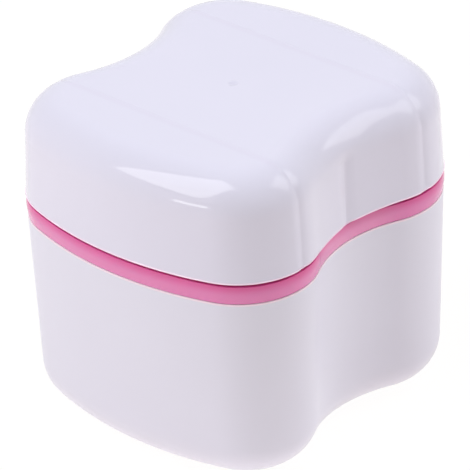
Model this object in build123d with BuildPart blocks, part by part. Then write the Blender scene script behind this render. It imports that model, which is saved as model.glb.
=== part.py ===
"""Denture bath: a tub, a strainer basket that hangs in it, and a lift-off lid.

Millimetres, +Z up, origin at the centre of the foot. X runs from grip to grip, Y from face to face.
"""
import os
from math import atan2, degrees, hypot, radians, sqrt, tan

from build123d import *

os.makedirs("parts", exist_ok=True)

# Heights
tub_height = 49.8  # table to the shoulder that carries the basket
band_height = 5.7  # basket rim seen between tub and lid
lid_height = 24.5  # band to the top of the lid

# Plan outline of the band: two convex faces, four corners, two concave grips
half_depth = 43.3
half_waist = 33.7
face_radius = 87.0
corner_radius = 18.0
grip_radius = 31.5

# Tub
tub_setback = 0.4  # tub's face behind the band's
tub_wall = 2.2
tub_draft = 1.9  # degrees
tub_floor = 2.2
base_fillet = 10.4
foot_width = 4.0
foot_recess = 0.8
lip_thickness = 1.2

# Strainer basket
basket_wall = 1.3
basket_floor = 1.6
basket_draft = 2.4  # degrees
basket_fillet = 6.0
basket_standoff = 7.0  # tub's floor to the basket's underside
web_thickness = 1.5
band_edge = 0.7
upstand_height = 3.0
upstand_lead = 0.4

# Slots in the basket's floor and walls
slot_width = 2.6
slot_pitch = 5.0
floor_slot_length = 16.0
floor_slot_rise = 20.0  # from one row to the next
wall_slot_sill = 9.5  # basket's underside to the foot of the slots
wall_slot_head = 8.3  # top of the slots to the tub's shoulder

# Lid
lid_overhang = 0.25  # lid's face proud of the band's
lid_wall = 1.9
lid_top = 2.0
lid_draft = 2.8  # degrees
lid_fillet = 9.6
lid_edge = 0.35
lid_grip_radius = 66.0  # flatter than the band's, so each grip has a crease down its middle
seam_inboard = 0.36  # seam inwards of the corners' centres
seam_depth = 0.3
seam_width = 3.0
gate_radius = 0.8
gate_depth = 0.2

# Clearances
lip_clearance = 0.2  # tub's lip to the band's skirt
web_clearance = 0.3  # tub's lip to the web over it
basket_clearance = 0.3  # tub's wall to the basket's
lid_clearance = 0.2  # upstand to the lid's wall

# Levels
band_top = tub_height + band_height
overall_height = band_top + lid_height
web_bottom = band_top - web_thickness
lip_top = web_bottom - web_clearance
floor_top = foot_recess + tub_floor
basket_bottom = floor_top + basket_standoff
drain_top = basket_bottom + basket_floor
upstand_top = band_top + upstand_height

# Insets from the band's outline: the tub's and basket's at the shoulder, the lid's at its rim
tub_inner = tub_setback + tub_wall
lip_outer = tub_inner - lip_thickness
skirt_inner = lip_outer - lip_clearance
basket_outer = tub_inner + basket_clearance
basket_inner = basket_outer + basket_wall
lid_inner = lid_wall - lid_overhang
upstand_outer = lid_inner + lid_clearance + upstand_height * tan(radians(lid_draft))


def meet(first, first_radius, second, second_radius):
    """Point at given distances from two centres, on the right of the way between them."""
    dx = second[0] - first[0]
    dy = second[1] - first[1]
    gap = hypot(dx, dy)
    along = (gap**2 + first_radius**2 - second_radius**2) / (2 * gap)
    across = sqrt(first_radius**2 - along**2)
    return (first[0] + (along * dx + across * dy) / gap, first[1] + (along * dy - across * dx) / gap)


def heading(start, end):
    """Direction in degrees from one point to another."""
    return degrees(atan2(end[1] - start[1], end[0] - start[0]))


# Arc centres of the front right quarter
face_centre = (0, face_radius - half_depth)
grip_centre = (half_waist + grip_radius, 0)
corner_centre = meet(
    face_centre, face_radius - corner_radius, grip_centre, grip_radius + corner_radius
)
lid_grip_centre = meet(
    corner_centre,
    corner_radius + lid_overhang + lid_grip_radius,
    (half_waist + lid_overhang, 0),
    lid_grip_radius,
)


def quarter(inset, centre, radius):
    """Half a face, a corner and the grip arc about a centre, to an inset from the outline."""
    face_end = heading(face_centre, corner_centre)
    grip_end = heading(corner_centre, centre)
    CenterArc(face_centre, face_radius - inset, -90, face_end + 90)
    CenterArc(corner_centre, corner_radius - inset, face_end, grip_end - face_end)
    CenterArc(centre, radius + inset, 180 + grip_end, -grip_end)


def outline(inset, level):
    """Whole plan outline at a level."""
    with BuildSketch(Plane.XY.offset(level)) as plan:
        with BuildLine():
            quarter(inset, grip_centre, grip_radius)
            mirror(about=Plane.YZ)
            mirror(about=Plane.XZ)
        make_face()
    return plan.sketch


def lid_front(inset, level):
    """Front half of the lid's outline at a level, run on past the middle for a clean cut there."""
    with BuildSketch(Plane.XY.offset(level)) as plan:
        with BuildLine() as edge:
            quarter(inset, lid_grip_centre, lid_grip_radius + lid_overhang)
            mirror(about=Plane.YZ)
            ends = edge.vertices().group_by(Axis.Y)[-1]
            Line(ends[0], ends[1])
        make_face()
    return plan.sketch


def drafted(shape, inset, draft, level, top, bottom):
    """Loft of an outline whose inset holds at a level and grows downwards, or upwards if negative."""
    slope = tan(radians(draft))
    lower = shape(inset + (level - bottom) * slope, bottom)
    upper = shape(inset - (top - level) * slope, top)
    return loft([lower, upper], ruled=True)


# Tub
with BuildPart() as tub_hollow:
    drafted(outline, tub_inner, tub_draft, tub_height, lip_top, floor_top)
    fillet(tub_hollow.faces().sort_by(Axis.Z)[0].edges(), base_fillet - tub_floor)

with BuildPart() as tub:
    drafted(outline, tub_setback, tub_draft, tub_height, tub_height, 0)
    fillet(tub.faces().sort_by(Axis.Z)[0].edges(), base_fillet)
    with BuildSketch() as recess:
        add(tub.faces().sort_by(Axis.Z)[0])
        offset(amount=-foot_width, mode=Mode.REPLACE)
    extrude(amount=foot_recess, mode=Mode.SUBTRACT)
    extrude(outline(lip_outer, tub_height), amount=lip_top - tub_height)
    add(tub_hollow.part, mode=Mode.SUBTRACT)

tub.part.label = "tub"
export_step(tub.part, "parts/tub.step")

# Strainer basket
with BuildPart() as basket_hollow:
    drafted(outline, basket_inner, basket_draft, tub_height, upstand_top, drain_top)
    fillet(basket_hollow.faces().sort_by(Axis.Z)[0].edges(), basket_fillet - basket_floor)

with BuildPart() as basket_body:
    drafted(outline, basket_outer, basket_draft, tub_height, web_bottom, basket_bottom)
    fillet(basket_body.faces().sort_by(Axis.Z)[0].edges(), basket_fillet)

with BuildPart() as basket_rim:
    extrude(outline(0, tub_height), amount=band_height)
    fillet(basket_rim.faces().sort_by(Axis.Z)[0].edges(), band_edge)
    extrude(outline(skirt_inner, tub_height), amount=web_bottom - tub_height, mode=Mode.SUBTRACT)
    extrude(outline(upstand_outer, band_top), amount=upstand_height)
    chamfer(basket_rim.faces().sort_by(Axis.Z)[-1].edges(), upstand_lead)

drain_inset = basket_inner + (tub_height - drain_top) * tan(radians(basket_draft)) + basket_fillet
columns = 2 * int((half_waist - drain_inset) / slot_pitch) + 1
rows = 2 * int((half_depth - drain_inset - floor_slot_length / 2) / floor_slot_rise) + 1
face_columns = 2 * int(corner_centre[0] / slot_pitch) + 1
grip_columns = 2 * int(-corner_centre[1] * grip_radius / (grip_radius + corner_radius) / slot_pitch) + 1
wall_slot_foot = basket_bottom + wall_slot_sill
wall_slot_length = tub_height - wall_slot_head - wall_slot_foot

with BuildPart() as strainer_basket:
    add(basket_rim.part)
    add(basket_body.part)
    add(basket_hollow.part, mode=Mode.SUBTRACT)
    with BuildSketch(Plane.XY.offset(basket_bottom)):
        with GridLocations(slot_pitch, floor_slot_rise, columns, rows):
            SlotOverall(floor_slot_length, slot_width, rotation=90)
    extrude(amount=basket_floor, mode=Mode.SUBTRACT)
    for plane, count, reach in ((Plane.XZ, face_columns, half_depth), (Plane.YZ, grip_columns, half_waist)):
        with BuildSketch(plane):
            with Locations((0, wall_slot_foot + wall_slot_length / 2)):
                with GridLocations(slot_pitch, wall_slot_length, count, 1):
                    SlotOverall(wall_slot_length, slot_width, rotation=90)
        extrude(amount=reach, both=True, mode=Mode.SUBTRACT)

strainer_basket.part.label = "strainer_basket"
export_step(strainer_basket.part, "parts/strainer_basket.step")

# Lid
with BuildPart() as lid_hollow:
    drafted(lid_front, lid_inner, -lid_draft, band_top, overall_height - lid_top, band_top)
    fillet(lid_hollow.faces().sort_by(Axis.Z)[-1].edges().sort_by(Axis.Y)[:-1], lid_fillet - lid_wall)

with BuildPart() as lid_body:
    drafted(lid_front, -lid_overhang, -lid_draft, band_top, overall_height, band_top)
    fillet(lid_body.faces().sort_by(Axis.Z)[-1].edges().sort_by(Axis.Y)[:-1], lid_fillet)
    fillet(lid_body.faces().sort_by(Axis.Z)[0].edges().sort_by(Axis.Y)[:-1], lid_edge)


def eased(side):
    """Lid's body on one side of the seam, its edge there bevelled to be half of the groove."""
    with BuildPart() as piece:
        add(lid_body.part)
        split(bisect_by=Plane.XZ.offset(-corner_centre[1] - seam_inboard), keep=side)
        cut = piece.faces().filter_by(Axis.Y).sort_by(Axis.Y)[0]
        chamfer(cut.edges().sort_by(Axis.Z)[1:], seam_depth, seam_width / 2, reference=cut)
    return piece.part


with BuildPart() as lid:
    add(eased(Keep.TOP))
    add(eased(Keep.BOTTOM))
    add(lid_hollow.part, mode=Mode.SUBTRACT)
    split(bisect_by=Plane.XZ, keep=Keep.TOP)
    mirror(about=Plane.XZ)
    with BuildSketch(Plane.XY.offset(overall_height)):
        Circle(gate_radius)
    extrude(amount=-gate_depth, mode=Mode.SUBTRACT)

lid.part.label = "lid"
export_step(lid.part, "parts/lid.step")

size = lid.part.bounding_box().size
print(f"overall {size.X:.1f} x {size.Y:.1f} x {overall_height:.1f} mm")
print(f"floor slots {columns} x {rows}, wall slots {face_columns} a face and {grip_columns} a grip")
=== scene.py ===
# %% [markdown]
# # A denture bath in moulded plastic
# The real thing is three mouldings that stack: a white tub for the cleaning
# liquid, a pink strainer basket that hangs in it by its rim, and a white lid.
# A CAD model already fixes their sizes. This scene makes the three again, within
# a millimetre of it, with finer edges, softer seams and a shadow gap that the CAD
# model doesn't have, and gives each its finish. We load the CAD model first and
# read some of its heights from its boxes.

from math import atan2, cos, hypot, pi, radians, sin, sqrt, tan

import bpy
import numpy as np
from mathutils import Matrix, Vector


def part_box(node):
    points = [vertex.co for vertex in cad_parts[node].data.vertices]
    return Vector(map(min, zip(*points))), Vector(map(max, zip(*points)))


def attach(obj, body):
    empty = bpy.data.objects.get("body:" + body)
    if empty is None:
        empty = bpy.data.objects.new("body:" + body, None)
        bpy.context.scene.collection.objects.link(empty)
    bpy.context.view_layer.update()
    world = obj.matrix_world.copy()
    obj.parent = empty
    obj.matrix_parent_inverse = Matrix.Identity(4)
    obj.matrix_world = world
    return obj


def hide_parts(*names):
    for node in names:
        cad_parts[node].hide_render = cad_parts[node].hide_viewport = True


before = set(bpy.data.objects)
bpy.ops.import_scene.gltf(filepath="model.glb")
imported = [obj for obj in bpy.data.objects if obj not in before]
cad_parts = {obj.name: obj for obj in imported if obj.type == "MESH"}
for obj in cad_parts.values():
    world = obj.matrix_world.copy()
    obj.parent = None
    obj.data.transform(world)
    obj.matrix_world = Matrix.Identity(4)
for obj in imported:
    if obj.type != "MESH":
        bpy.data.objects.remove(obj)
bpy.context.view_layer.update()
scene = bpy.context.scene

# %% [markdown]
# ## Sizes
# Sizes that several pieces share are named here, in metres. Heights that the CAD
# model knows are read from its boxes, so that they can't drift apart. A wall of a
# moulding leans by two or three degrees, its draft, so that the piece slides off
# its mould.

# %% Name the sizes
mm = 0.001
shoulder = 49.8 * mm
lip_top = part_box("tub")[1].z
basket_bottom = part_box("strainer_basket")[0].z
upstand_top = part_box("strainer_basket")[1].z
band_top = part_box("lid")[0].z
lid_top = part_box("lid")[1].z

half_depth = 43.3 * mm
half_waist = 33.7 * mm
face_radius = 87.0 * mm
corner_radius = 18.0 * mm
grip_radius = 31.5 * mm
lid_grip_radius = 66.0 * mm
lid_overhang = 0.22 * mm
lid_waist = 34.5 * mm
drip_length = 0.45 * mm
drip_foot = band_top - drip_length

tub_draft, basket_draft, lid_draft = radians(1.9), radians(2.4), radians(2.8)
tub_lean, basket_lean, lid_lean = tan(tub_draft), tan(basket_draft), tan(lid_draft)
print("band stands at", round(shoulder / mm, 1), "to", round(band_top / mm, 1), "mm")

# %% [markdown]
# ## The outline that all three pieces share
# Seen from above, each piece is the same peanut: a gently bowed face front and
# back, four tight corners, and a hollow on each side for the fingers. Designers
# draw such a line from arcs that touch smoothly. Arcs about one centre stay
# parallel whatever their radius, so an inset only changes the radii, and each
# wall keeps an even thickness. Drawing it by hand with Bezier points would lose that.

# %% Find the centres of the arcs


def meet(first, first_radius, second, second_radius):
    """Point at given distances from two centres, on the right of the way between them."""
    dx, dy = second[0] - first[0], second[1] - first[1]
    gap = hypot(dx, dy)
    along = (gap**2 + first_radius**2 - second_radius**2) / (2 * gap)
    across = sqrt(first_radius**2 - along**2)
    return (first[0] + (along * dx + across * dy) / gap, first[1] + (along * dy - across * dx) / gap)


def heading(start, end):
    """Direction in radians from one point to another."""
    return atan2(end[1] - start[1], end[0] - start[0])


face_centre = (0, face_radius - half_depth)
grip_centre = (half_waist + grip_radius, 0)
corner_centre = meet(face_centre, face_radius - corner_radius, grip_centre, grip_radius + corner_radius)
lid_grip_centre = meet(
    corner_centre,
    corner_radius + lid_overhang + lid_grip_radius,
    (lid_waist, 0),
    lid_grip_radius,
)
face_end = heading(face_centre, corner_centre)
grip_end = heading(corner_centre, grip_centre)
lid_grip_end = heading(corner_centre, lid_grip_centre)
print("corner centre", [round(v / mm, 2) for v in corner_centre], "mm")

# %% Draw the outline


def arc(centre, radius, start, end, steps):
    """Points along an arc, both ends with it."""
    turns = np.linspace(start, end, steps + 1)
    return np.column_stack([centre[0] + radius * np.cos(turns), centre[1] + radius * np.sin(turns)])


def all_round(quarter):
    """Whole outline, anticlockwise, from the points of its front right quarter."""
    back = quarter[-2::-1] * (1, -1)
    left = np.vstack([quarter, back])[-2:0:-1] * (-1, 1)
    return np.vstack([quarter, back, left])


face_steps, corner_steps, grip_steps = 18, 24, 18
outline = all_round(
    np.vstack(
        [
            arc(face_centre, face_radius, -pi / 2, face_end, face_steps),
            arc(corner_centre, corner_radius, face_end, grip_end, corner_steps)[1:],
            arc(grip_centre, grip_radius, grip_end + pi, pi, grip_steps)[1:],
        ]
    )
)
print("outline has", len(outline), "points")

# %% [markdown]
# ## A section with rounded corners
# A moulded wall is easiest to think of as a section: how far in from the outline
# it is at each height. No edge of a moulding is truly sharp, and it is the small
# radius that catches a line of light, so each corner of a section names its own.
# A Bevel modifier would round every edge alike. Just before and after each curve
# stands one more point, which keeps the shading of the flat wall flat.

# %% Round the corners of a section
hold = 0.12 * mm


def rounded(corners):
    """Section points (inset, height) from corners (inset, height, radius), all in metres."""
    points = []
    for i, (inset, height, radius) in enumerate(corners):
        here = Vector((inset, height))
        if not radius:
            points.append(here)
            continue
        to_last = (Vector(corners[i - 1][:2]) - here).normalized()
        to_next = (Vector(corners[i + 1][:2]) - here).normalized()
        half = to_last.angle(to_next) / 2
        turn = pi - 2 * half
        reach = radius / tan(half)
        centre = here + (to_last + to_next).normalized() * radius / sin(half)
        start = here + to_last * reach - centre
        finish = here + to_next * reach - centre
        beyond = reach + min(hold, radius / 4)
        points.append(here + to_last * beyond)
        for share in np.linspace(0, turn, max(4, round(4 * turn * sqrt(radius / mm)) + 1)):
            points.append(centre + (start * sin(turn - share) + finish * sin(share)) / sin(turn))
        points.append(here + to_next * beyond)
    return [tuple(point) for point in points]


print("a 10 mm curve gets", len(rounded([(0, 0, 0), (0, 0.05, 0.01), (0.05, 0.05, 0)])) - 2, "points")

# %% [markdown]
# ## Writing nodes as sums
# Materials and geometry trees are both node trees. Wiring each Math node by hand
# hides the idea, so a small class lets us write `0.1 + 0.05 * noise` and adds
# the nodes for us. Its one method for every other node takes the node's type,
# its settings and the values or links of its sockets. The four nodes that the
# finishes use again and again have a short method each.

# %% A wire in a node tree


class Wire:
    """A socket of a node tree. Sums and products of wires add Math nodes."""

    def __init__(self, tree, socket=None):
        self.tree, self.socket = tree, socket

    def node(self, kind, inputs=(), output=0, **settings):
        """Adds a node, sets it up, feeds its inputs by name or number, and gives one output."""
        node = self.tree.nodes.new(kind)
        for name, value in settings.items():
            setattr(node, name, value)
        for key, value in dict(inputs).items():
            for item in value if isinstance(value, list) else [value]:
                if isinstance(item, Wire):
                    self.tree.links.new(item.socket, node.inputs[key])
                else:
                    node.inputs[key].default_value = item
        return Wire(self.tree, node.outputs[output] if node.outputs else None)

    def noise(self, scale, detail):
        """A noise read at this place, with about scale cells to the metre."""
        return self.node("ShaderNodeTexNoise", {"Vector": self, "Scale": scale, "Detail": detail})

    def part(self, axis):
        """The X, Y or Z of this place."""
        return self.node("ShaderNodeSeparateXYZ", {0: self}, output=axis)

    def fade(self, start, end, easing="LINEAR"):
        """0 where this value is at start, 1 where it is at end, and blended between the two."""
        return self.node("ShaderNodeMapRange", {"Value": self, 1: start, 2: end}, interpolation_type=easing)

    def tint(self, under, over):
        """One colour where this value is 0, another where it is 1. A Math node would turn them grey."""
        return self.node("ShaderNodeMix", {0: self, 6: under, 7: over}, output=2, data_type="RGBA")

    def _math(self, operation, *values):
        return self.node("ShaderNodeMath", dict(enumerate(values)), operation=operation)

    def __abs__(self):
        return self._math("ABSOLUTE", self)

    def __add__(self, other):
        return self._math("ADD", self, other)

    def __radd__(self, other):
        return self._math("ADD", other, self)

    def __sub__(self, other):
        return self._math("SUBTRACT", self, other)

    def __rsub__(self, other):
        return self._math("SUBTRACT", other, self)

    def __mul__(self, other):
        return self._math("MULTIPLY", self, other)

    def __rmul__(self, other):
        return self._math("MULTIPLY", other, self)


def new_material(name):
    """An empty material, its node writer, its Principled shader and the object's own coordinates."""
    material = bpy.data.materials.new(name)
    material.use_nodes = True
    write = Wire(material.node_tree)
    shader = material.node_tree.nodes["Principled BSDF"]
    place = write.node("ShaderNodeTexCoord", output="Object")
    return material, write, shader, place


def feed(write, shader, **sockets):
    """Links wires to a shader's sockets, or sets plain values on them; _ stands for a space."""
    for name, value in sockets.items():
        socket = shader.inputs[name.replace("_", " ")]
        if isinstance(value, Wire):
            write.tree.links.new(value.socket, socket)
        else:
            socket.default_value = value


print("nodes can now be written as sums")

# %% [markdown]
# ## Polished white for the lid
# The lid is the show face: its mould was polished, so the plastic is glossy and
# mirrors the lamps. What gives injection moulding away is how little it varies:
# a slow drift of tone where the melt cooled at another pace, a faint swimming of
# reflections, and the finest haze from handling. Those are three noises of very
# different sizes, one each for colour, relief and roughness. The drip edge of the
# rim is painted paler: a painted highlight. Beside each seam the tone is a little
# darker, painted shade of its groove, and round the mark of the gate, where the
# melt came in, it is darker too, painted shade in its dish. All three follow from
# how far a point is from an edge, a line or a spot, which a Map Range fades.

# %% Material for the lid
seam_y = corner_centre[1] + 0.36 * mm
gate_x, gate_y = 0.8 * mm, -0.4 * mm
# Where the painted shade beside the seams lies on the top.
front_seam_shade_y = seam_y - 1.1 * mm
back_seam_shade_y = -seam_y - 0.9 * mm
# How strong the painted shade at the gate and beside the seams is.
painted_shade_strength = 0.3
plastic_ior = 1.49

slow_white, quick_white = (0.745, 0.733, 0.880, 1), (0.785, 0.769, 0.915, 1)
# Colour of the painted highlight along the rim's drip edge.
rim_highlight_white = (1.0, 0.80, 0.98, 1)
# Colour of the painted shade in the gate mark's dish.
gate_shade_white = (0.58, 0.56, 0.72, 1)
# Colour of the painted shade beside the seams.
seam_shade_white = (0.72, 0.68, 0.84, 1)

lid_white, write, shader, place = new_material("lid_white")
drift = place.noise(28.0, 2.0)
haze = place.noise(420.0, 4.0)
swim = place.noise(55.0, 1.0)
tone = drift.tint(slow_white, quick_white)

height = place.part("Z")
# The drip edge below the band's top is painted paler: a painted highlight.
rim_highlight = height.fade(band_top, band_top - 0.09 * mm)
tone = rim_highlight.tint(tone, rim_highlight_white)

to_gate = write.node(
    "ShaderNodeVectorMath",
    {0: place, 1: (gate_x, gate_y, lid_top)},
    output="Value",
    operation="DISTANCE",
)
# Round the gate mark the tone is darkened: painted shade in its dish.
gate_shade = to_gate.fade(1.3 * mm, 0.9 * mm)
tone = (painted_shade_strength * gate_shade).tint(tone, gate_shade_white)

# Beside each seam on the top the tone is darkened: painted shade of its groove.
across = place.part("Y")
to_front = abs(across - front_seam_shade_y)
to_back = abs(across - back_seam_shade_y)
to_seam_shade = write.node("ShaderNodeMath", {0: to_front, 1: to_back}, operation="MINIMUM")
seam_shade = to_seam_shade.fade(1.5 * mm, 0.1 * mm, easing="SMOOTHSTEP")
on_top = height.fade(lid_top - 1.5 * mm, lid_top - 0.3 * mm)
tone = (painted_shade_strength * seam_shade * on_top).tint(tone, seam_shade_white)

relief = write.node("ShaderNodeBump", {"Height": swim, "Strength": 0.1, "Distance": 0.2 * mm})
feed(write, shader, Base_Color=tone, Roughness=0.02 + 0.02 * haze, Normal=relief, IOR=plastic_ior)
# The pale rim named here is a painted highlight, and the marks of the mould are painted shade.
print("lid_white mixes drift, haze, swim, a pale rim and the marks of its mould")

# %% [markdown]
# ## Satin white for the tub
# The tub's mould was left with a fine texture, so that its walls don't show
# scratches. The same white plastic then scatters the light: reflections spread
# into broad soft bands. A very fine noise in the relief does that, with a
# rougher base, and a second, slower one keeps the satin from looking sprayed on.
# The edge of the shoulder is painted pale and pinkish: a painted highlight, with a painted reflection of
# the band's pink in it.
# It is a band of heights: one fade begins it and another ends it.

# %% Material for the tub
slow_white, quick_white = (0.742, 0.737, 0.870, 1), (0.782, 0.775, 0.908, 1)
# Colour of the painted highlight on the shoulder's edge, pinkish with a painted reflection of the band.
shoulder_highlight_white = (0.92, 0.77, 0.88, 1)

tub_white, write, shader, place = new_material("tub_white")
drift = place.noise(22.0, 2.0)
grain = place.noise(2600.0, 2.0)
patch = place.noise(90.0, 3.0)
tone = drift.tint(slow_white, quick_white)

height = place.part("Z")
# The shoulder's edge is painted pale: a painted highlight.
edge = height.fade(shoulder - 0.55 * mm, shoulder - 0.3 * mm)
above_edge = height.fade(shoulder + 0.05 * mm, shoulder + 0.2 * mm)
tone = (edge - above_edge).tint(tone, shoulder_highlight_white)

relief = write.node("ShaderNodeBump", {"Height": grain, "Strength": 0.12, "Distance": 0.04 * mm})
feed(write, shader, Base_Color=tone, Roughness=0.30 + 0.08 * patch, Normal=relief, IOR=plastic_ior)
# The worn edge named here is the painted highlight on the shoulder.
print("tub_white mixes drift, grain, patch and a worn edge")

# %% [markdown]
# ## Candy pink for the basket
# The basket is dyed right through and slightly translucent, so light that goes
# in near an edge comes out pinker. Subsurface scattering does that; its weight
# and reach are the same everywhere, so they are set on the shader itself. Towards
# the top of the band the pink is deeper and darker: partly the thicker plastic
# there, partly painted shade under the lid's rim. Below it, over the white lip and
# in the walls, it is paler. The grips are painted paler too: painted light. A
# dark hairline on the band, where its corner turns into the grip, is painted shade
# of that fold. Each of these is a fade on the Y or Z of a place, and the sign of X
# puts the hairline nearer to the front on the right side and nearer to the back on
# the left one.

# %% Material for the basket
# Where the painted shade of the fold between corner and grip lies.
fold_shade_y = 13.4 * mm
fold_shade_strength = 0.45
grip_painted_light_strength = 0.22

slow_pink, quick_pink = (0.755, 0.212, 0.48, 1), (0.795, 0.247, 0.52, 1)
# Deep pink of the thicker plastic, with painted shade under the lid's rim.
deep_and_shaded_pink = (0.75, 0.09, 0.335, 1)
# Paler pink of the painted light on the grips.
grip_painted_light_pink = (0.90, 0.45, 0.66, 1)
# Colour of the painted shade in the fold between corner and grip.
fold_shade_pink = (0.45, 0.05, 0.2, 1)

basket_pink, write, shader, place = new_material("basket_pink")
drift = place.noise(35.0, 2.0)
haze = place.noise(700.0, 3.0)
swim = place.noise(120.0, 1.0)
height = place.part("Z")
# Deeper towards the top of the band: the thicker plastic and painted shade under the lid's rim.
thick_and_shaded = height.fade(52.0 * mm, 54.8 * mm, easing="SMOOTHSTEP")
tone = thick_and_shaded.tint(drift.tint(slow_pink, quick_pink), deep_and_shaded_pink)

across = place.part("Y")
# The grips are painted paler: painted light.
grip_painted_light = abs(across).fade(16.0 * mm, 8.0 * mm)
tone = (grip_painted_light_strength * grip_painted_light).tint(tone, grip_painted_light_pink)

# A hairline of painted shade where the band's corner turns into its grip.
side = write.node("ShaderNodeMath", {0: place.part("X")}, operation="SIGN")
fold_shade = abs(across * side + fold_shade_y).fade(0.2 * mm, 0.08 * mm)
on_band = height.fade(shoulder - 1.0 * mm, shoulder)
tone = (fold_shade_strength * fold_shade * on_band).tint(tone, fold_shade_pink)

relief = write.node("ShaderNodeBump", {"Height": swim, "Strength": 0.1, "Distance": 0.1 * mm})
feed(
    write,
    shader,
    Base_Color=tone,
    Roughness=0.14 + 0.08 * haze,
    Normal=relief,
    IOR=plastic_ior,
    Subsurface_Weight=0.2,
    Subsurface_Radius=(1.0, 0.25, 0.45),
    Subsurface_Scale=2.0 * mm,
)
print("basket_pink scatters light to 2 mm")

# %% [markdown]
# ## A tree that sweeps a section round the outline
# Tub and basket are both a section carried round the outline, so one Geometry
# Nodes tree makes both. Curve to Mesh sweeps the walls. With the curve's normals
# held to Z up, a section's x points outwards and its y points down. Two flat
# sheets close the rest, the floor and the underside: each is the same outline,
# pushed in by the section's first or last inset, filled and set to its height.

# %% Helpers for geometry trees
sharp_angle = radians(35)


def new_geometry_tree(name, *inputs):
    """A geometry tree with named inputs (name, type), its node writer and its input wires."""
    tree = bpy.data.node_groups.new(name, "GeometryNodeTree")
    tree.interface.new_socket("Geometry", in_out="OUTPUT", socket_type="NodeSocketGeometry")
    tree.interface.new_socket("Geometry", in_out="INPUT", socket_type="NodeSocketGeometry")
    for title, kind in inputs:
        tree.interface.new_socket(title, in_out="INPUT", socket_type="NodeSocket" + kind)
    group = tree.nodes.new("NodeGroupInput")
    wires = {socket.name: Wire(tree, socket) for socket in group.outputs if socket.name}
    return tree, Wire(tree), wires


def finish_tree(write, mesh, material):
    """Shades smooth but for true edges, and ends the tree in Realize Instances and Set Material."""
    edge_angle = write.node("GeometryNodeInputMeshEdgeAngle")
    true_edge = write.node("FunctionNodeCompare", {0: edge_angle, 1: sharp_angle}, operation="GREATER_THAN")
    smooth = write.node("GeometryNodeSetShadeSmooth", {"Geometry": mesh})
    creased = write.node(
        "GeometryNodeSetShadeSmooth",
        {"Geometry": smooth, "Selection": true_edge, "Shade Smooth": False},
        domain="EDGE",
    )
    real = write.node("GeometryNodeRealizeInstances", {"Geometry": creased})
    painted = write.node("GeometryNodeSetMaterial", {"Geometry": real, "Material": material})
    write.node("NodeGroupOutput", {"Geometry": painted})


def grow(name, tree, mesh=None, **inputs):
    """Runs a tree on a new object and keeps the result as its plain mesh; _ stands for a space."""
    piece = bpy.data.objects.new(name, mesh or bpy.data.meshes.new(name))
    scene.collection.objects.link(piece)
    modifier = piece.modifiers.new(tree.name, "NODES")
    modifier.node_group = tree
    identifiers = {
        socket.name: socket.identifier for socket in tree.interface.items_tree if socket.in_out == "INPUT"
    }
    for title, value in inputs.items():
        modifier[identifiers[title.replace("_", " ")]] = value
    evaluated = piece.evaluated_get(bpy.context.evaluated_depsgraph_get())
    made = bpy.data.meshes.new_from_object(evaluated)
    piece.modifiers.clear()
    piece.data = made
    made.name = name
    return piece


def line_object(name, points, closed):
    """A straight-run curve through points (x, y), for a tree to read."""
    curve = bpy.data.curves.new(name, "CURVE")
    curve.dimensions = "3D"
    spline = curve.splines.new("POLY")
    spline.points.add(len(points) - 1)
    for point, (x, y) in zip(spline.points, points):
        point.co = (x, y, 0, 1)
    spline.use_cyclic_u = closed
    line = bpy.data.objects.new(name, curve)
    scene.collection.objects.link(line)
    return line


print("trees can be grown into meshes")

# %% The sweeping tree
sweep_tree, write, given = new_geometry_tree(
    "sweep_section",
    ("Outline", "Object"),
    ("Section", "Object"),
    ("Floor Inset", "Float"),
    ("Floor Height", "Float"),
    ("Underside Inset", "Float"),
    ("Underside Height", "Float"),
    ("Material", "Material"),
)
path = write.node("GeometryNodeObjectInfo", {"Object": given["Outline"]}, output="Geometry")
section = write.node("GeometryNodeObjectInfo", {"Object": given["Section"]}, output="Geometry")
upright = write.node("GeometryNodeSetCurveNormal", {"Curve": path}, mode="Z_UP")
walls = write.node("GeometryNodeCurveToMesh", {"Curve": upright, "Profile Curve": section})
along = write.node("GeometryNodeInputTangent")
outwards = write.node("ShaderNodeVectorMath", {0: along, 1: (0, 0, 1)}, operation="CROSS_PRODUCT")


def flat_sheet(inset, height):
    """The outline pushed in by an inset, filled and set to a height."""
    push = write.node("ShaderNodeVectorMath", {0: outwards, "Scale": -1 * inset}, operation="SCALE")
    ring = write.node("GeometryNodeSetPosition", {"Geometry": path, "Offset": push})
    sheet = write.node("GeometryNodeFillCurve", {"Curve": ring}, mode="NGONS")
    lift = write.node("ShaderNodeCombineXYZ", {"Z": height})
    return write.node("GeometryNodeSetPosition", {"Geometry": sheet, "Offset": lift})


floor_sheet = flat_sheet(given["Floor Inset"], given["Floor Height"])
underside = flat_sheet(given["Underside Inset"], given["Underside Height"])
turned = write.node("GeometryNodeFlipFaces", {"Mesh": underside})
shell = write.node("GeometryNodeJoinGeometry", {"Geometry": [walls, floor_sheet, turned]})
closed_shell = write.node("GeometryNodeMergeByDistance", {"Geometry": shell, "Distance": 0.005 * mm})
finish_tree(write, closed_shell, given["Material"])
print("sweep_section has", len(sweep_tree.nodes), "nodes")

# %% Sweep a section round the outline
outline_line = line_object("outline", outline, True)


def swept(name, corners, material):
    """A closed moulding whose section runs from its floor, over the rim, to its underside."""
    points = rounded(corners)
    section_line = line_object(name + "_section", [(-inset, -height) for inset, height in points], False)
    piece = grow(
        name,
        sweep_tree,
        Outline=outline_line,
        Section=section_line,
        Floor_Inset=points[0][0],
        Floor_Height=points[0][1],
        Underside_Inset=points[-1][0],
        Underside_Height=points[-1][1],
        Material=material,
    )
    bpy.data.objects.remove(section_line)
    return piece


print("a section can be swept along", len(outline_line.data.splines[0].points), "points")

# %% [markdown]
# ## The tub
# A plain bucket with thick walls: its section starts on the floor inside, climbs
# the wall, goes over a thin lip that fits up inside the basket's rim, steps out
# to the shoulder that carries the basket, and falls to a generous curve at the
# foot. The underside is hollowed a little, so that the tub stands on a ring.

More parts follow.
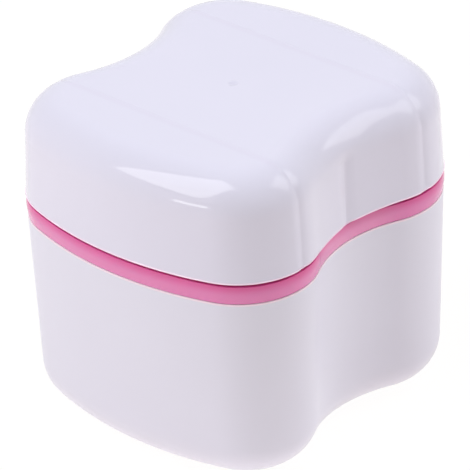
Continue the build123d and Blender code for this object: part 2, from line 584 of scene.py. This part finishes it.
# %% Sweep the tub
tub_floor = 3.0 * mm
tub_face = 0.05 * mm
tub_inside = 2.6 * mm
lip_face = 1.4 * mm
tub_floor_turn = 8.2 * mm
foot_turn = 10.4 * mm
foot_edge = tub_face + shoulder * tub_lean + foot_turn * tan(pi / 4 - tub_draft / 2)
foot_inner = foot_edge + 4.0 * mm
foot_recess = 0.8 * mm
flat = 0.4 * mm
wall_foot = tub_inside + (shoulder - tub_floor) * tub_lean

tub = swept(
    "tub_shell",
    [
        (wall_foot + tub_floor_turn + flat, tub_floor, 0),
        (wall_foot, tub_floor, tub_floor_turn),
        (tub_inside - (lip_top - shoulder) * tub_lean, lip_top, 0.35 * mm),
        (lip_face, lip_top, 0.35 * mm),
        (lip_face, shoulder, 0.2 * mm),
        (tub_face, shoulder, 0.15 * mm),
        (tub_face + shoulder * tub_lean, 0, foot_turn),
        (foot_inner, 0, 0.3 * mm),
        (foot_inner, foot_recess, 0.2 * mm),
        (foot_inner + flat, foot_recess, 0),
    ],
    tub_white,
)
print("tub_shell has", len(tub.data.polygons), "faces")

# %% [markdown]
# ## The basket's shell
# The basket hangs by its rim. From outside only the rim shows, as the pink band
# between the two white pieces. Its section starts on the basket's floor, climbs
# to the upstand that centres the lid, steps out to the band's face, turns under,
# goes up into the groove that takes the tub's lip, and down the basket's wall.
# Above the band's face it keeps back a little, which leaves a gap under the lid:
# what shows of a joint is its shadow. The face itself bulges by a hair.

# %% Sweep the basket's shell
drain_top = 11.6 * mm
web_bottom = 54.0 * mm
basket_inside = 4.2 * mm
basket_floor_turn = 4.4 * mm
basket_foot_turn = 6.0 * mm
basket_face = 2.9 * mm
upstand_face = 1.997 * mm
skirt_inside = 1.2 * mm
gap_inside = 1.2 * mm
gap_height = 1.14 * mm
band_bulge = 0.2 * mm
bulge_middle = shoulder + 2.5 * mm
bulge_radius = 6.0 * mm
band_foot = 0.2 * mm

inner_foot = basket_inside + (shoulder - drain_top) * basket_lean
outer_foot = basket_face + (shoulder - basket_bottom) * basket_lean

basket_shell = swept(
    "basket_shell",
    [
        (inner_foot + basket_floor_turn + flat, drain_top, 0),
        (inner_foot, drain_top, basket_floor_turn),
        (basket_inside - (upstand_top - shoulder) * basket_lean, upstand_top, 0.35 * mm),
        (upstand_face, upstand_top, 0.5 * mm),
        (upstand_face, band_top, 0.2 * mm),
        (gap_inside, band_top, 0.1 * mm),
        (gap_inside, band_top - gap_height, 0.1 * mm),
        (0, band_top - gap_height, 0.15 * mm),
        (-band_bulge, bulge_middle, bulge_radius),
        (band_foot, shoulder, 0.35 * mm),
        (skirt_inside, shoulder, 0.2 * mm),
        (skirt_inside, web_bottom, 0.2 * mm),
        (basket_face - (web_bottom - shoulder) * basket_lean, web_bottom, 0.2 * mm),
        (outer_foot, basket_bottom, basket_foot_turn),
        (outer_foot + basket_foot_turn + flat, basket_bottom, 0),
    ],
    basket_pink,
)
print("basket_shell has", len(basket_shell.data.polygons), "faces")

# %% [markdown]
# ## Slots that drain the basket
# Rows of round-ended slots let the liquid in and out. In the mould they are
# straight pins, so here they are straight prisms on a grid, cut away together.
# The same few nodes serve floor, faces and grips: a rounded rectangle swept along
# a short line makes one prism, and Instance on Points repeats it on a grid.

# %% The slotting tree
slot_tree, write, given = new_geometry_tree(
    "cut_slots",
    ("Slot Width", "Float"),
    ("Slot Pitch", "Float"),
    ("Floor Slot Length", "Float"),
    ("Floor Slot Rise", "Float"),
    ("Wall Slot Length", "Float"),
    ("Floor Middle", "Vector"),
    ("Wall Middle", "Vector"),
    ("Reach", "Float"),
    ("Material", "Material"),
)


def slot_rows(length, count, middle, rows=1, rise=0.0, turn=(0, 0, 0)):
    """Slot prisms on a flat grid, turned to face a wall and moved to their middle."""
    frame_line = write.node(
        "GeometryNodeCurvePrimitiveQuadrilateral", {"Width": given["Slot Width"], "Height": length}
    )
    slot_line = write.node(
        "GeometryNodeFilletCurve",
        {"Curve": frame_line, "Radius": nearly_half * given["Slot Width"], "Count": 7},
        mode="POLY",
    )
    near, far = (write.node("ShaderNodeCombineXYZ", {"Z": side * given["Reach"]}) for side in (-1, 1))
    stem = write.node("GeometryNodeCurvePrimitiveLine", {"Start": near, "End": far})
    prism = write.node(
        "GeometryNodeCurveToMesh", {"Curve": stem, "Profile Curve": slot_line, "Fill Caps": True}
    )
    grid = write.node(
        "GeometryNodeMeshGrid",
        {
            "Size X": (count - 1) * given["Slot Pitch"],
            "Size Y": (rows - 1) * rise,
            "Vertices X": count,
            "Vertices Y": rows,
        },
    )
    row = write.node("GeometryNodeInstanceOnPoints", {"Points": grid, "Instance": prism})
    solid = write.node("GeometryNodeRealizeInstances", {"Geometry": row})
    return write.node("GeometryNodeTransform", {"Geometry": solid, "Translation": middle, "Rotation": turn})


nearly_half = 0.499
facing_front = (pi / 2, 0, 0)
facing_side = (pi / 2, 0, pi / 2)
floor_slots = slot_rows(
    given["Floor Slot Length"],
    count=9,
    middle=given["Floor Middle"],
    rows=3,
    rise=given["Floor Slot Rise"],
)
face_slots = slot_rows(given["Wall Slot Length"], count=9, middle=given["Wall Middle"], turn=facing_front)
grip_slots = slot_rows(given["Wall Slot Length"], count=5, middle=given["Wall Middle"], turn=facing_side)
slotted = given["Geometry"]
for slots in (floor_slots, face_slots, grip_slots):
    slotted = write.node(
        "GeometryNodeMeshBoolean", {0: slotted, 1: slots}, operation="DIFFERENCE", solver="EXACT"
    )
finish_tree(write, slotted, given["Material"])
print("cut_slots has", len(slot_tree.nodes), "nodes")

# %% Cut the slots
slot_foot = basket_bottom + 9.5 * mm
slot_head = shoulder - 8.3 * mm
basket = grow(
    "basket",
    slot_tree,
    mesh=basket_shell.data,
    Slot_Width=2.6 * mm,
    Slot_Pitch=5.0 * mm,
    Floor_Slot_Length=16.0 * mm,
    Floor_Slot_Rise=20.0 * mm,
    Wall_Slot_Length=slot_head - slot_foot,
    Floor_Middle=(0, 0, basket_bottom - half_depth + drain_top),
    Wall_Middle=(0, 0, (slot_foot + slot_head) / 2),
    Reach=half_depth,
    Material=basket_pink,
)
bpy.data.objects.remove(basket_shell)
bpy.data.objects.remove(outline_line)
print("basket has", len(basket.data.polygons), "faces")

# %% [markdown]
# ## The lid's columns
# The lid can't be swept: its grips meet in a crease down the middle, and two
# shallow grooves, where blocks of the mould met, cross it from side to side. So
# it is laid out as a grid. Rows are levels of its section. Columns
# follow the outline, but round the ends they keep a fixed y instead, so that the
# crease and both grooves run exactly along columns and stay straight and crisp.

# %% Where the lid's columns stand
seam_half = 2.3 * mm
seam_depth = 0.34 * mm
groove_round = 0.3 * mm
crease_half = 3.2 * mm
crease_depth = 0.42 * mm
crease_soft = 9.0 * mm
crease_shift = 0.7 * mm
crease_reach = 8.0 * mm
first_y = -25.8 * mm

seam_shares = np.array([-1.2, -1, -0.82, -0.66, -0.5, -0.36, -0.24, -0.15, -0.1, -0.05, 0])
crease_shares = np.array([0.88, 0.76, 0.64, 0.52, 0.41, 0.31, 0.22, 0.14, 0.07, 0.03, 0])
front_ys = seam_y + seam_half * seam_shares
seam_ys = np.concatenate([front_ys, 2 * seam_y - front_ys[-2::-1]])
column_ys = np.concatenate(
    [
        np.linspace(first_y, seam_ys[0], 4)[1:-1],
        seam_ys,
        np.linspace(seam_ys[-1], -crease_half, 24)[1:],
        -crease_half * crease_shares,
    ]
)
face_turns = np.linspace(-pi / 2, face_end, 25)
corner_shares = np.linspace(0, 1, 17)[1:]
first_end = len(face_turns) + len(corner_shares)
quarter_ys = np.concatenate([np.full(first_end, first_y), column_ys])
columns = 4 * (len(quarter_ys) - 1)
print("lid has", columns, "columns,", len(column_ys), "of them at a fixed y in each quarter")

# %% [markdown]
# ## The lid's outline
# In plan the lid is the same peanut, but the arcs of its grips are shallower, so
# they don't flow into each other: they meet in a crease. A crease with no radius
# would look like folded card, so the columns near it are read from a parabola.
# The outline is worked out for any inset, as the arcs were, and for any softness
# of the crease. At the top of the lid the grip can also take its round form.

# %% Draw the lid's outline


def end_xs(end_insets, turn_at_grip, in_grip):
    """x of the end columns: on the corner's arc up to its turn at the grip, then what the grip says."""
    radii = corner_radius - end_insets
    on_corner = column_ys < corner_centre[1] + radii * sin(turn_at_grip)
    squares = np.maximum(radii**2 - (column_ys - corner_centre[1]) ** 2, 0)
    return np.where(on_corner, corner_centre[0] + np.sqrt(squares), in_grip)


def creased_end(end_insets, soft):
    """The end with a grip of two shallow arcs that meet in a crease, rounded off over the length soft."""
    radii = lid_grip_radius + lid_overhang + end_insets
    soft_ys = np.where(column_ys > -soft, -(column_ys**2 + soft**2) / (2 * soft), column_ys)
    in_grip = lid_grip_centre[0] - np.sqrt(radii**2 - (soft_ys - lid_grip_centre[1]) ** 2)
    return end_xs(end_insets, lid_grip_end, in_grip)


def round_end(end_insets):
    """The end with the grip of tub and band, which is one round arc."""
    in_grip = grip_centre[0] - np.sqrt((grip_radius + end_insets) ** 2 - column_ys**2)
    return end_xs(end_insets, grip_end, in_grip)


def lid_quarter(insets, soft=hold, roundness=0.0):
    """Front right quarter of the lid's outline, each column at its own inset, its crease as soft as asked.

    roundness, from 0 to 1, turns the creased grip into the round one.
    """
    face_insets, corner_insets, end_insets = np.split(insets, [len(face_turns), first_end])
    radii = face_radius - face_insets
    face = np.column_stack([radii * np.cos(face_turns), face_centre[1] + radii * np.sin(face_turns)])

    radii = corner_radius - corner_insets
    corner_stop = np.arcsin((first_y - corner_centre[1]) / radii)
    turns = face_end + corner_shares * (corner_stop - face_end)
    corner = np.column_stack(
        [corner_centre[0] + radii * np.cos(turns), corner_centre[1] + radii * np.sin(turns)]
    )

    ends = (1 - roundness) * creased_end(end_insets, soft) + roundness * round_end(end_insets)
    return np.vstack([face, corner, np.column_stack([ends, column_ys])])


plain_outline = all_round(lid_quarter(np.zeros(len(quarter_ys))))
print("the lid's waist is", round(2 * plain_outline[len(quarter_ys) - 1, 0] / mm, 1), "mm wide")

# %% [markdown]
# ## The lid's section
# The section runs from the ceiling inside, down the wall, round the rim and up to
# the top. The rim ends in a narrow drip edge that comes down over the gap above
# the band, with a fine chamfer that catches the light. Every point also needs the
# way the section is heading there, because a groove is cut square to it.

# %% Name the lid's section
rim_inside = 1.65 * mm
drip_inside = 0.32 * mm
ceiling = lid_top - 2.0 * mm
lid_turn = 9.6 * mm
ceiling_turn = 7.7 * mm
chamfer = 0.14 * mm
chamfer_foot = drip_foot + 0.2 * mm
chamfer_head = drip_foot + 0.33 * mm
top_inset = lid_lean * (lid_top - band_top) - lid_overhang
ceiling_inset = rim_inside + lid_lean * (ceiling - band_top)
lid_section = np.array(
    rounded(
        [
            (ceiling_inset + ceiling_turn + 2 * flat, ceiling, 0),
            (ceiling_inset + ceiling_turn + flat, ceiling, 0),
            (ceiling_inset, ceiling, ceiling_turn),
            (rim_inside, band_top, 0.2 * mm),
            (drip_inside, band_top, 0.1 * mm),
            (drip_inside, drip_foot, 0.1 * mm),
            (-lid_overhang, drip_foot, 0.12 * mm),
            (-lid_overhang, chamfer_foot, 0.05 * mm),
            (-lid_overhang + chamfer, chamfer_head, 0.05 * mm),
            (top_inset, lid_top, lid_turn),
            (top_inset + lid_turn + flat, lid_top, 0),
            (top_inset + lid_turn + 2 * flat, lid_top, 0),
        ]
    )
)
way = np.gradient(lid_section, axis=0)
way /= np.linalg.norm(way, axis=1)[:, None]
rim_row = int(np.argmin(lid_section[:, 0]))
print("lid has", len(lid_section), "levels,", rim_row, "of them inside")

# %% [markdown]
# ## The lid's grooves
# Each groove is a soft notch: every point near it moves inwards, most in the
# middle and less towards the shoulders. It is broad on the wall and a hairline on
# the top. The crease of each grip has such a groove too. It lies a little off the
# middle, and runs out in the fillet below the top. Of the two grips, the left one
# goes over to its round form there. A bump could only pretend this: a real notch
# also shows where it crosses the outline.

# %% Let the grooves into each level
crease_fade = 3.0 * mm
groove_on_top = 0.1
groove_power = 1.5


def groove(distance, half, depth):
    """How far a groove with a rounded bottom lets a point in, by its distance from the groove's middle."""
    rounded_distance = np.hypot(distance, groove_round * half / seam_half)
    return depth * np.clip(1 - rounded_distance / half, 0, 1) ** groove_power


def in_fillet(height):
    """0 on the wall, rising to 1 over the start of the fillet, where the crease runs out."""
    return np.clip((height - (lid_top - lid_turn)) / crease_fade, 0, 1)


def inner_row(row):
    """One level inside the lid or under its rim, across which the grooves fade from the edge inwards."""
    inset, height = lid_section[row]
    share = max((drip_inside - inset) / (drip_inside + lid_overhang), 0)
    notch = groove(quarter_ys - seam_y, seam_half, seam_depth)
    notch += groove(quarter_ys, crease_half, crease_depth)
    ring = all_round(lid_quarter(inset + share * notch))
    return np.column_stack([ring, np.full(columns, height)])


def outer_row(row):
    """One level outside the lid, with the grooves let in along the section's normal."""
    inset, height = lid_section[row]
    fine = groove_on_top + (1 - groove_on_top) * abs(way[row, 1])
    notch = groove(quarter_ys - seam_y, seam_half * fine, seam_depth * fine)
    notch += groove(quarter_ys, crease_half, crease_depth * (1 - in_fillet(height)))
    insets = inset + way[row, 1] * notch
    heights = height - way[row, 0] * notch
    front_and_back = np.concatenate([heights, heights[-2::-1]])
    around = np.concatenate([front_and_back, front_and_back[-2:0:-1]])

    soft = max(crease_soft * in_fillet(height), hold)
    right = all_round(lid_quarter(insets, soft))
    left = all_round(lid_quarter(insets, soft, roundness=in_fillet(height)))
    ring = np.where(right[:, :1] > 0, right, left)
    return np.column_stack([ring, around])


rows = [inner_row(row) if row < rim_row else outer_row(row) for row in range(len(lid_section))]
vertices = np.vstack(rows)
shift = crease_shift * (1 - in_fillet(vertices[:, 2])) * np.exp(-((vertices[:, 1] / crease_reach) ** 2))
vertices[:, 1] -= np.sign(vertices[:, 0]) * shift
print("lid has", len(vertices), "points, its creases", round(shift.max() / mm, 1), "mm off the middle")

# %% [markdown]
# ## Closing the lid
# Two levels that follow each other are joined by a ring of four-sided faces. The
# ceiling and the top are closed by strips that run from the left columns to the
# right ones, so that the hairline of a groove crosses the top without a break.

# %% Build the lid
faces = []
for row in range(len(lid_section) - 1):
    for column in range(columns):
        low, high = row * columns, (row + 1) * columns
        after = (column + 1) % columns
        faces.append((low + column, low + after, high + after, high + column))


def strips(row, upwards):
    """Closes a row with faces that run from its left to its right."""
    start = row * columns
    for step in range(columns // 2):
        corners = [step, step + 1, (columns - step - 1) % columns, (columns - step) % columns]
        corners = [start + c for c in dict.fromkeys(corners)]
        faces.append(corners if upwards else corners[::-1])


strips(0, upwards=False)
strips(len(lid_section) - 1, upwards=True)
lid_mesh = bpy.data.meshes.new("lid_shell")
lid_mesh.from_pydata(vertices.tolist(), [], faces)
lid_mesh.materials.append(lid_white)
lid_mesh.shade_smooth()
lid_mesh.update()
lid = bpy.data.objects.new("lid_shell", lid_mesh)
scene.collection.objects.link(lid)
print("lid_shell has", len(lid_mesh.polygons), "faces")

# %% [markdown]
# ## The mark of the gate
# The melt entered the lid's mould near the middle of its top. The runner was
# twisted off and leaves a shallow dish. A Boolean with the cap of a large ball
# lets it in, because the strips of the top have no ring of points there to push
# down. Only the dish's rim is then marked as a sharp edge.

# %% Shape the cutter of the gate mark
gate_radius = 1.2 * mm
gate_depth = 0.18 * mm
ball_radius = (gate_radius**2 + gate_depth**2) / (2 * gate_depth)
widest_lean = 1.2 * gate_radius / ball_radius
ring_count = 32
level_count = 6

cutter_points = [(gate_x, gate_y, lid_top - gate_depth)]
for level in range(1, level_count + 1):
    lean = level / level_count * widest_lean
    ring_radius = ball_radius * sin(lean)
    height = lid_top - gate_depth + ball_radius * (1 - cos(lean))
    for turn in np.linspace(0, 2 * pi, ring_count, endpoint=False):
        cutter_points.append((gate_x + ring_radius * cos(turn), gate_y + ring_radius * sin(turn), height))

cutter_faces = []
for step in range(ring_count):
    after = (step + 1) % ring_count
    cutter_faces.append((0, 1 + after, 1 + step))
    for level in range(level_count - 1):
        low, high = 1 + level * ring_count, 1 + (level + 1) * ring_count
        cutter_faces.append((low + step, low + after, high + after, high + step))
last_ring = 1 + (level_count - 1) * ring_count
cutter_faces.append(tuple(range(last_ring, last_ring + ring_count)))
print("the cutter is part of a ball of", round(ball_radius / mm, 1), "mm")

# %% Let the gate mark into the lid
cutter_mesh = bpy.data.meshes.new("gate_cutter")
cutter_mesh.from_pydata(cutter_points, [], cutter_faces)
cutter_mesh.shade_smooth()
cutter = bpy.data.objects.new("gate_cutter", cutter_mesh)
scene.collection.objects.link(cutter)
boolean = lid.modifiers.new("gate", "BOOLEAN")
boolean.operation = "DIFFERENCE"
boolean.solver = "EXACT"
boolean.object = cutter
lid.data = bpy.data.meshes.new_from_object(lid.evaluated_get(bpy.context.evaluated_depsgraph_get()))
lid.modifiers.clear()
bpy.data.objects.remove(cutter)


def on_gate_rim(point):
    """Whether a point of the lid's top is part of the gate mark's rim."""
    near = hypot(point.x - gate_x, point.y - gate_y) < 1.01 * gate_radius
    return near and point.z > lid_top - 0.1 * hold


for edge in lid.data.edges:
    edge.use_edge_sharp = all(on_gate_rim(lid.data.vertices[index].co) for index in edge.vertices)
print("lid_shell has", len(lid.data.polygons), "faces with its gate mark")

# %% [markdown]
# ## Each piece takes its place in the CAD model
# A piece stands for the CAD solid of its name and moves with that solid's body.

# %% Tie the pieces to the CAD model
for piece, node, slot in (
    (tub, "tub", "white_plastic"),
    (basket, "strainer_basket", "pink_plastic"),
    (lid, "lid", "lid_plastic"),
):
    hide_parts(node)
    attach(piece, node)
    print(piece.name, "stands for", node)

# %% [markdown]
# ## The table and the backdrop
# Packs are shot on white, so that they can be cut out. Pouring light on a white
# floor until it clips would wash out the object too. Here the floor and the
# world are simply white to the camera and to reflections, by way of Light Path.
# To every other ray the floor is a pale surface that also glows a faint warm light
# of its own, though it is no lamp, which lights the walls from below; the world
# is a faint sky.
# A small part of the lit floor is left in what the camera sees, which keeps the
# object's soft shadow.

# %% Make the floor
plain_white = (1, 1, 1, 1)


def seen_ray(write):
    """1 for a ray from the camera, off a glossy surface or through a clear one, and 0 for any other."""
    camera_ray = write.node("ShaderNodeLightPath", output="Is Camera Ray")
    outputs = camera_ray.socket.node.outputs
    return (
        camera_ray
        + Wire(write.tree, outputs["Is Glossy Ray"])
        + Wire(write.tree, outputs["Is Transmission Ray"])
    )


def mix_surface(write, share, under, over, end):
    """Ends a material's or a world's tree in a mix of two shaders."""
    mixed = write.node("ShaderNodeMixShader", {0: share, 1: Wire(write.tree, under.outputs[0]), 2: over})
    write.tree.links.new(mixed.socket, write.tree.nodes[end].inputs["Surface"])


floor_half = 4.0
floor_drop = 0.01 * mm
white_share = 0.92
corners = [(x * floor_half, y * floor_half, 0) for x, y in ((-1, -1), (1, -1), (1, 1), (-1, 1))]
floor_mesh = bpy.data.meshes.new("floor")
floor_mesh.from_pydata(corners, [], [(0, 1, 2, 3)])
floor = bpy.data.objects.new("floor", floor_mesh)
scene.collection.objects.link(floor)
floor.location.z = -floor_drop

floor_white, write, shader, place = new_material("floor_white")
# The floor glows a faint warm light of its own, though it is no lamp, which lights the walls from below.
feed(
    write,
    shader,
    Base_Color=(0.86, 0.86, 0.86, 1),
    Roughness=0.9,
    Specular_IOR_Level=0.0,
    Emission_Color=(1.0, 0.83, 0.68, 1),
    Emission_Strength=0.48,
)
bright = write.node("ShaderNodeEmission", {"Color": plain_white, "Strength": 1.0})
mix_surface(write, white_share * seen_ray(write), shader, bright, "Material Output")
floor_mesh.materials.append(floor_white)
print("the floor is", 2 * floor_half, "m wide")

# %% Make the world
world = bpy.data.worlds.new("studio")
world.use_nodes = True
scene.world = world
write = Wire(world.node_tree)
sky = world.node_tree.nodes["Background"]
sky.inputs["Color"].default_value = (0.92, 0.94, 1.0, 1)
sky.inputs["Strength"].default_value = 0.02
white = write.node("ShaderNodeBackground", {"Color": plain_white, "Strength": 1.0})
mix_surface(write, seen_ray(write), sky, white, "World Output")
print("floor and world are white to the camera")

# %% [markdown]
# ## Lamps
# Glossy plastic is lit by what it mirrors. Two large soft boxes stand to the
# front left and to the back right, on either side of the camera's corner: their
# mirror images are the pale shapes along the lid's rounded edge. A thin strip low
# in front draws the fine line below them. Three more lamps lift the shade on the
# walls and the top. Those are hidden from reflections, so that they add light but
# no shapes, as light bounced off a wall out of sight would.

# %% Place the lamps


def towards(bearing, height):
    """Unit vector to a bearing (0 is the front, 90 the right) and a height, in degrees."""
    turn, rise = radians(bearing), radians(height)
    return Vector((sin(turn) * cos(rise), -cos(turn) * cos(rise), sin(rise)))


def soft_box(name, bearing, height, width, tall, watts, roll=0.0, distance=0.9, mirrored=True):
    """A rectangular soft box turned to face the object; only a mirrored one shows in glossy plastic."""
    lamp = bpy.data.lights.new(name, "AREA")
    lamp.shape = "RECTANGLE"
    lamp.size = width
    lamp.size_y = tall
    lamp.energy = watts
    holder = bpy.data.objects.new(name, lamp)
    scene.collection.objects.link(holder)
    back = towards(bearing, height)
    facing = back.to_track_quat("Z", "Y").to_matrix() @ Matrix.Rotation(radians(roll), 3, "Z")
    holder.matrix_world = Matrix.Translation(aim + distance * back) @ facing.to_4x4()
    holder.visible_camera = False
    holder.visible_glossy = mirrored


def fill_lamp(name, bearing, height, side, watts):
    """A square lamp that lights the shade and that no reflection shows."""
    soft_box(name, bearing, height, side, side, watts, distance=1.0, mirrored=False)


aim = Vector((0, 0, 50.0 * mm))
soft_box("box_left", bearing=-18.7, height=52.0, width=0.512, tall=0.805, watts=3.82, roll=-12.7)
soft_box("box_right", bearing=129.7, height=36.6, width=0.455, tall=0.577, watts=1.52, roll=11.6)
soft_box("strip", bearing=-6.9, height=7.4, width=0.19, tall=0.09, watts=0.22, roll=4.0)
fill_lamp("fill_left", bearing=-60, height=40, side=0.60, watts=1.55)
fill_lamp("fill_back", bearing=150, height=40, side=0.60, watts=2.77)
fill_lamp("fill_top", bearing=0, height=89, side=0.90, watts=3.7)
print("lamps are in place")

# %% [markdown]
# ## Camera
# The camera stands a metre away with a long lens, which keeps upright edges
# nearly upright. Its place is given as a bearing, a height and a distance from
# the object, and its turn by two angles of its own and a slight roll.

# %% Place the camera
middle = Vector((0, 0, 40.0 * mm))
stand = towards(42.029, 30.624)
camera_distance = 1.056668
look_bearing, look_height = 42.067, 30.653
roll = radians(-2.295)
back = towards(look_bearing, look_height)
level = Vector((cos(radians(look_bearing)), sin(radians(look_bearing)), 0))
above = back.cross(level)
across = cos(roll) * level + sin(roll) * above
upward = -sin(roll) * level + cos(roll) * above

camera_data = bpy.data.cameras.new("camera")
camera_data.sensor_width = 36.0
camera_data.lens = 347.87
camera = bpy.data.objects.new("camera", camera_data)
turned = Matrix((across, upward, back)).transposed().to_4x4()
camera.matrix_world = Matrix.Translation(middle + camera_distance * stand) @ turned
scene.collection.objects.link(camera)
scene.camera = camera
scene.view_settings.view_transform = "Standard"
print("camera at", [round(v, 3) for v in camera.matrix_world.translation])
